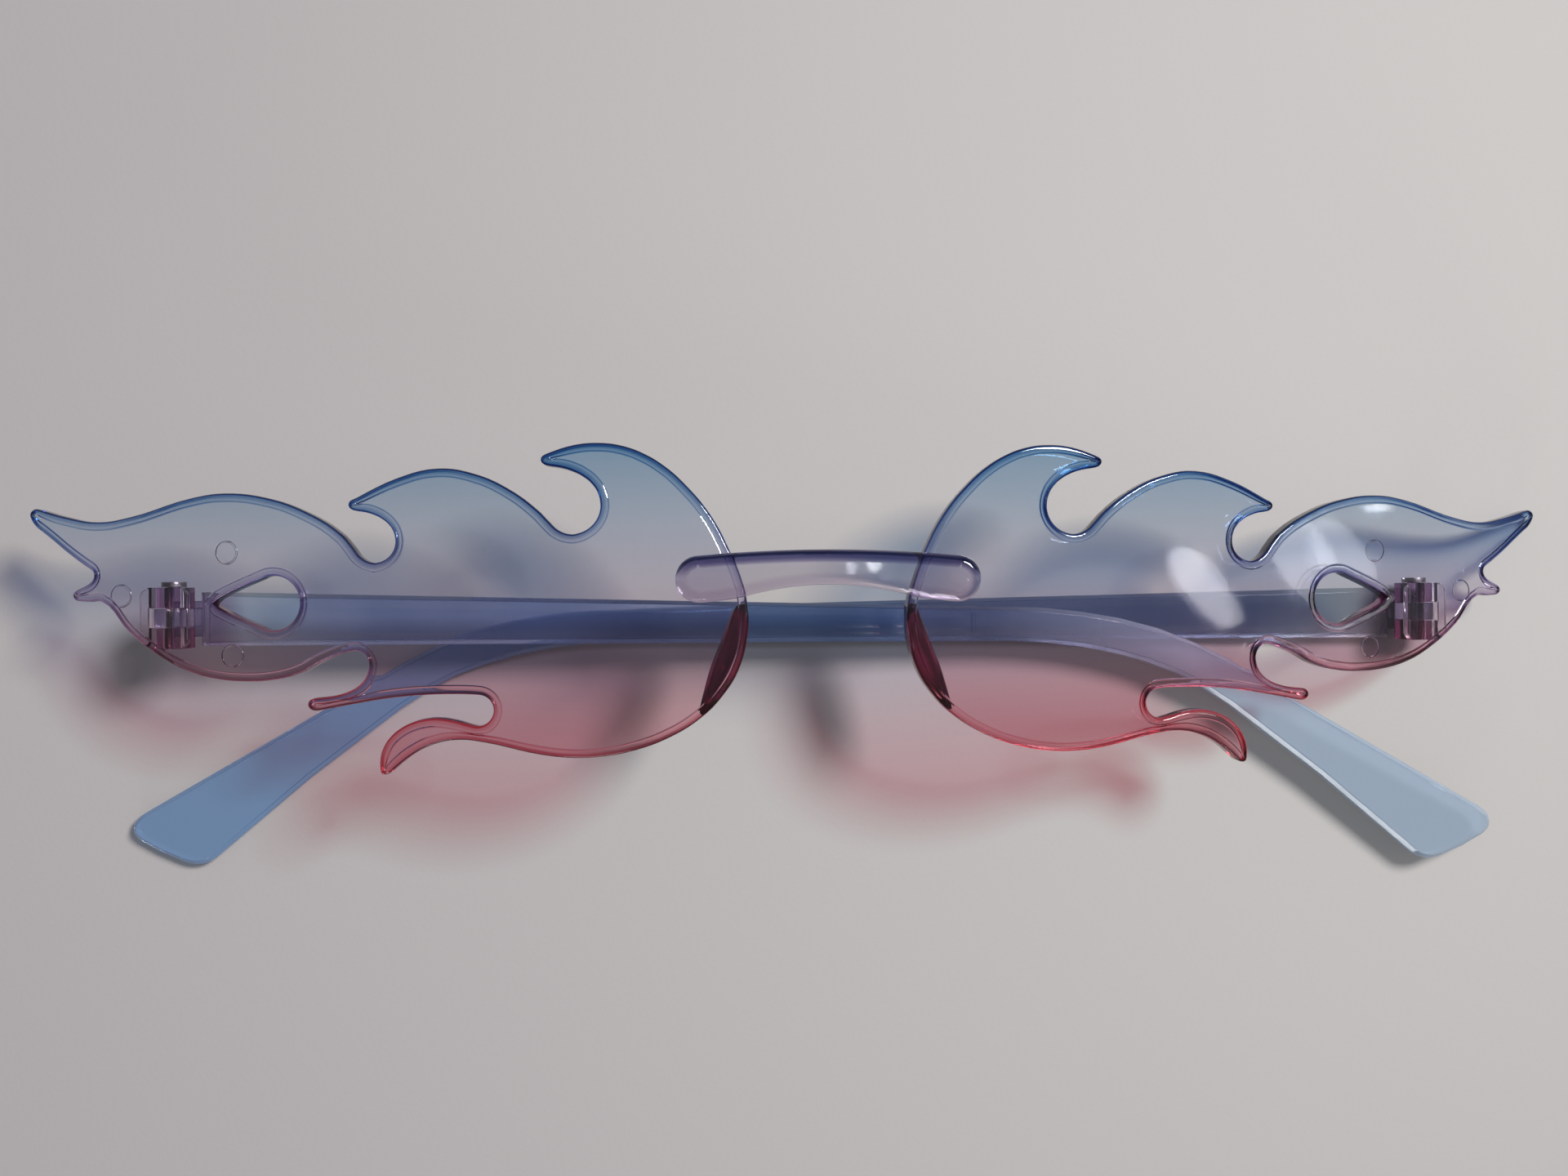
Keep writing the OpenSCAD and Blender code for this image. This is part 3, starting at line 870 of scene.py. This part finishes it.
def dyed_plastic(name, stops, shade, low=DYE_FOOT, high=DYE_CREST, rim_dye_and_shade=0.0, field=0.0,
                 rough=(0.02, 0.06), milk=None):
    """Plastic dyed along Y, or along its reach where it has milk.

    Milk is two reaches, and the share that scatters light before the first and past the
    second. Shade is what each skin leaves of the light for the paper, besides the dye.
    """
    material, nodes, links, skin = node_material(name)
    place = nodes.new("ShaderNodeTexCoord").outputs["Object"]
    split = nodes.new("ShaderNodeSeparateXYZ")
    links.new(place, split.inputs[0])
    distance = stored(nodes, "reach") if milk else split.outputs["Y"]
    colour = dye_along(nodes, links, place, distance, stops, low, high)
    # partly painted shade: the rim's number deepens the dye along rims and rounds
    if rim_dye_and_shade:
        depth = sum_of(nodes, links, stored(nodes, "rim"), rim_dye_and_shade, 1.0)
        # painted light: the sunk field is dyed deeper, so the band round it shows as a lighter
        # strip along the bar
        if field:
            depth = sum_of(nodes, links, stored(nodes, "field"), field, depth)
        colour = powered(nodes, links, colour, depth)
    links.new(colour, skin.inputs["Base Color"])
    skin.inputs["IOR"].default_value = PLASTIC_IOR
    skin.inputs["Transmission Weight"].default_value = 1.0
    if milk:
        near, far, least, most = milk
        links.new(ranged(nodes, links, distance, near, far, 1.0 - least, 1.0 - most),
                  skin.inputs["Transmission Weight"])
    polish_and_waves(nodes, links, place, skin, rough)
    gap_for_light(nodes, links, skin, colour, shade)
    return material


print("the lens dye runs over", round((DYE_CREST - DYE_FOOT) / MM), "mm")

# %% [markdown]
# The lens dye runs from blue at the crest through lilac to pink. The bridge is nearly clear, the
# pads are deep red and the hinge blocks a pale violet whose knuckles go dark. The arms' plastic is
# deep blue along the bar and turns milky towards a tip; at the root it is dyed clearer, which
# paints light into the shade of the hinge there. The two arms are lit and shaded copies of one
# plastic: the inner arm's tip is lighter and milkier, a painted reflection of the window, and the
# outer arm's tip is bluer and darker, painted shade.

# %% The dyes of this pair
lens_dye = dyed_plastic("lens_dye", [
    (-11.0, (0.88, 0.52, 0.57)),
    (-7.0, (0.92, 0.62, 0.67)),
    (-1.0, (0.86, 0.74, 0.81)),
    (4.0, (0.79, 0.78, 0.89)),
    (9.0, (0.65, 0.74, 0.87)),
    (15.5, (0.40, 0.59, 0.78))], shade=(0.96, 0.96, 0.96), rim_dye_and_shade=14.0)
bridge_plastic = dyed_plastic("clear_moulding", [
    (2.0, (0.79, 0.73, 0.80)),
    (7.0, (0.74, 0.76, 0.87))], shade=(0.85, 0.85, 0.85), rim_dye_and_shade=11.0)
pad_plastic = dyed_plastic("red_moulding", [
    (-9.0, (0.26, 0.03, 0.08)),
    (-3.0, (0.24, 0.03, 0.09)),
    (1.5, (0.16, 0.02, 0.06))], shade=(0.25, 0.32, 0.32), rough=(0.04, 0.12))
hinge_plastic = dyed_plastic("violet_moulding", [
    (-3.0, (0.96, 0.91, 0.94)),
    (3.0, (0.95, 0.92, 0.95))], shade=(0.42, 0.42, 0.42), low=-3 * MM, high=3 * MM,
    rim_dye_and_shade=30.0, rough=(0.04, 0.12))

MILK_FROM, MILK_TO, BAR_MILK = 82 * MM, 104 * MM, 0.08


def temple_dye(name, tip, tip_milk):
    """The arms' plastic: clearer at the root as painted light, deep blue along the bar, satin at a
    tip whose tone and milk paint its light or shade.
    """
    return dyed_plastic(name, [
        (0.0, (0.44, 0.38, 0.54)),
        (2.8, (0.52, 0.48, 0.64)),
        (5.5, (0.80, 0.92, 0.99)),
        # painted light: the root is dyed clearer where the hinge's shade falls
        (11.0, (0.64, 0.78, 0.93)),
        (18.0, (0.44, 0.56, 0.79)),
        (34.0, (0.46, 0.59, 0.84)),
        (74.0, (0.44, 0.58, 0.82)),
        (96.0, tip)], shade=(0.62, 0.58, 0.54), low=0.0, high=136 * MM, rim_dye_and_shade=4.0, field=0.30,
        rough=(0.08, 0.18), milk=(MILK_FROM, MILK_TO, BAR_MILK, tip_milk))


# painted reflection and shade: the inner arm's tip is lighter and milkier, the outer's bluer and
# darker
inner_plastic_painted_lit = temple_dye("blue_moulding_inner_painted_lit", (0.50, 0.61, 0.75), 0.50)
outer_plastic_painted_shade = temple_dye("blue_moulding_outer_painted_shade", (0.37, 0.55, 0.83), 0.38)
print("dyed plastics:", [m.name for m in (lens_dye, bridge_plastic, pad_plastic, hinge_plastic,
                                          inner_plastic_painted_lit, outer_plastic_painted_shade)])

# %% [markdown]
# The screws are plain turned steel. Turning leaves fine rings round the axis, so the noise that
# drives the roughness is stretched across it.

# %% Turned steel
ALONG_RING, ACROSS_RINGS, RING_DETAIL = 300, 9000, 4
STEEL_DARK, STEEL_BRIGHT = (0.12, 0.10, 0.10, 1), (0.40, 0.38, 0.37, 1)
STEEL_ROUGH = (0.22, 0.48)


def turned_steel(name):
    material, nodes, links, skin = node_material(name)
    skin.inputs["Metallic"].default_value = 1.0
    place = nodes.new("ShaderNodeTexCoord")
    stretch = nodes.new("ShaderNodeMapping")
    stretch.inputs["Scale"].default_value = (ALONG_RING, ACROSS_RINGS, ALONG_RING)
    links.new(place.outputs["Object"], stretch.inputs["Vector"])
    rings = noise(nodes, links, stretch.outputs["Vector"], 1, RING_DETAIL)
    links.new(two_tone(nodes, links, rings, STEEL_DARK, STEEL_BRIGHT), skin.inputs["Base Color"])
    links.new(ranged(nodes, links, rings, 0.0, 1.0, *STEEL_ROUGH), skin.inputs["Roughness"])
    return material


steel = turned_steel("turned_steel")
print("screws are", steel.name)

# %% [markdown]
# Every piece is one moulding or one turned part, so each takes one material all over.


# %% Coat every piece
def coat(pieces, material):
    for piece in pieces:
        piece.data.materials.clear()
        piece.data.materials.append(material)


coat(lenses, lens_dye)
coat([bridge], bridge_plastic)
coat(pads, pad_plastic)
coat(blocks, hinge_plastic)
coat(temples[:1], inner_plastic_painted_lit)
coat(temples[1:], outer_plastic_painted_shade)
coat(screws, steel)
print("coated", len(lenses + pads + blocks + temples + screws) + 1, "pieces")

# %% [markdown]
# ## Paper
# The pair lies on thick matt paper. Its grain is finer than a millimetre, so it is a bump and a
# faint mottle in the material, on a sheet that reaches far past the picture. The light is stronger
# on the right than on the left, and that falloff is painted into the paper: its two tones change
# across it, darker on the left and paler on the right.

# %% Paper floor
PAPER_SHADED_LEFT, PAPER_LIT_RIGHT = (0.505, 0.480, 0.490, 1), (0.560, 0.545, 0.540, 1)
PAINTED_FALLOFF_REACH, PAINTED_FALLOFF_SLANT = 120 * MM, 0.25
FIBRE_SCALE, FIBRE_DETAIL, FIBRE_ROUGH, FIBRE_TONE = 1800, 6, 0.6, 0.10
GRAIN_STRENGTH, GRAIN_DEEP = 0.25, 0.06 * MM
PAPER_WIDE, PAPER_CELLS, PAPER_UNDER = 3.0, 8, 0.02 * MM


def paper_material():
    material, nodes, links, skin = node_material("paper")
    place = nodes.new("ShaderNodeTexCoord").outputs["Object"]
    split = nodes.new("ShaderNodeSeparateXYZ")
    links.new(place, split.inputs[0])
    slanted = sum_of(nodes, links, split.outputs["Y"], PAINTED_FALLOFF_SLANT, split.outputs["X"])
    # painted light: the paper's tone follows the light's falloff across it
    across = ranged(nodes, links, slanted, -PAINTED_FALLOFF_REACH, PAINTED_FALLOFF_REACH, easing="SMOOTHSTEP")
    fibre = noise(nodes, links, place, FIBRE_SCALE, FIBRE_DETAIL, FIBRE_ROUGH)
    mottled = sum_of(nodes, links, fibre, FIBRE_TONE,
                     sum_of(nodes, links, across, 1.0, -FIBRE_TONE / 2))
    links.new(two_tone(nodes, links, mottled, PAPER_SHADED_LEFT, PAPER_LIT_RIGHT), skin.inputs["Base Color"])
    skin.inputs["Roughness"].default_value = 0.85
    skin.inputs["Specular IOR Level"].default_value = 0.25
    bumped(nodes, links, skin, fibre, GRAIN_STRENGTH, GRAIN_DEEP)
    return material


deselect_all()
bpy.ops.mesh.primitive_grid_add(
    x_subdivisions=PAPER_CELLS, y_subdivisions=PAPER_CELLS, size=PAPER_WIDE)
paper = bpy.context.active_object
paper.name = "paper"
paper.data.transform(Matrix.Translation((0, 0, -PAPER_UNDER)))
coat([paper], paper_material())
print("paper", round(paper.dimensions.x, 2), "m wide")

# %% [markdown]
# ## Light
# The shadows are soft and fall to the lower left, so a large soft lamp stands high at the upper
# right. A real window is so far away that its light is equally strong all over the table, and a
# constant falloff gives this lamp the same. The other lamps are there for what the gloss
# mirrors, each set where its piece throws the light into the camera. The right lens shows a
# bright leaf, a veil of two panes and a glint, and the bridge shows a small window. A low window
# draws the bright line along the temples' tips.

# %% Lamps
WARM_WHITE, COOL_WHITE = (1.0, 0.985, 0.96), (0.95, 0.97, 1.0)
HIGH_WINDOW_STRENGTH = 10.6


def area_lamp(name, place, aim, size, power, colour=COOL_WHITE, roll=0.0):
    data = bpy.data.lights.new(name, "AREA")
    data.shape = "ELLIPSE"
    data.size, data.size_y = size
    data.energy = power
    data.color = colour
    lamp = bpy.data.objects.new(name, data)
    bpy.context.collection.objects.link(lamp)
    lamp.location = place
    towards = Vector(aim) - Vector(place)
    lamp.rotation_euler = towards.to_track_quat("-Z", "Y").to_euler()
    lamp.rotation_euler.rotate_axis("Z", math.radians(roll))
    return lamp


high_window = area_lamp("high_window", (0.158, 0.120, 0.233), (0, 0, 0), (0.09, 0.09), 1.0,
                        WARM_WHITE)
high_window.data.use_nodes = True
lamp_tree = high_window.data.node_tree
falloff = lamp_tree.nodes.new("ShaderNodeLightFalloff")
falloff.inputs["Strength"].default_value = HIGH_WINDOW_STRENGTH
lamp_tree.links.new(falloff.outputs["Constant"], lamp_tree.nodes["Emission"].inputs["Strength"])

# Name, place, the point it faces, width and height, watts, and its turn in degrees
for name, place, aim, size, power, roll in [
        ("pane_leaf", (0.580, 0.002, 0.601), (0.038, 0.003, 0.013), (0.104, 0.036), 0.044, 60),
        ("pane_middle", (0.672, 0.024, 0.505), (0.050, 0.005, 0.011), (0.130, 0.056), 0.056, 52),
        ("pane_outer", (0.715, 0.016, 0.462), (0.054, 0.004, 0.010), (0.110, 0.050), 0.036, 58),
        ("pane_glint", (0.737, 0.059, 0.428), (0.057, 0.011, 0.009), (0.005, 0.036), 0.005, 0),
        ("pane_bridge", (0.143, 0.023, 0.707), (0.004, 0.005, 0.021), (0.021, 0.012), 0.010, 0),
        ("low_window", (-0.090, -0.700, 0.150), (0.020, -0.020, 0.008), (0.280, 0.090), 0.62, 0)]:
    area_lamp(name, place, aim, size, power, roll=roll)

# %% [markdown]
# The walls and ceiling send back a faint cool light from everywhere, which keeps the shadows
# from going black. The plain view keeps the colours as they were chosen.

# %% Room light and plain colours
ROOM_TINT, ROOM_STRENGTH = (0.90, 0.93, 1.0, 1), 0.15

room = bpy.data.worlds.new("room")
bpy.context.scene.world = room
room.use_nodes = True
sky = room.node_tree.nodes["Background"]
sky.inputs["Color"].default_value = ROOM_TINT
sky.inputs["Strength"].default_value = ROOM_STRENGTH
bpy.context.scene.view_settings.view_transform = "Standard"
print("room light", ROOM_STRENGTH)
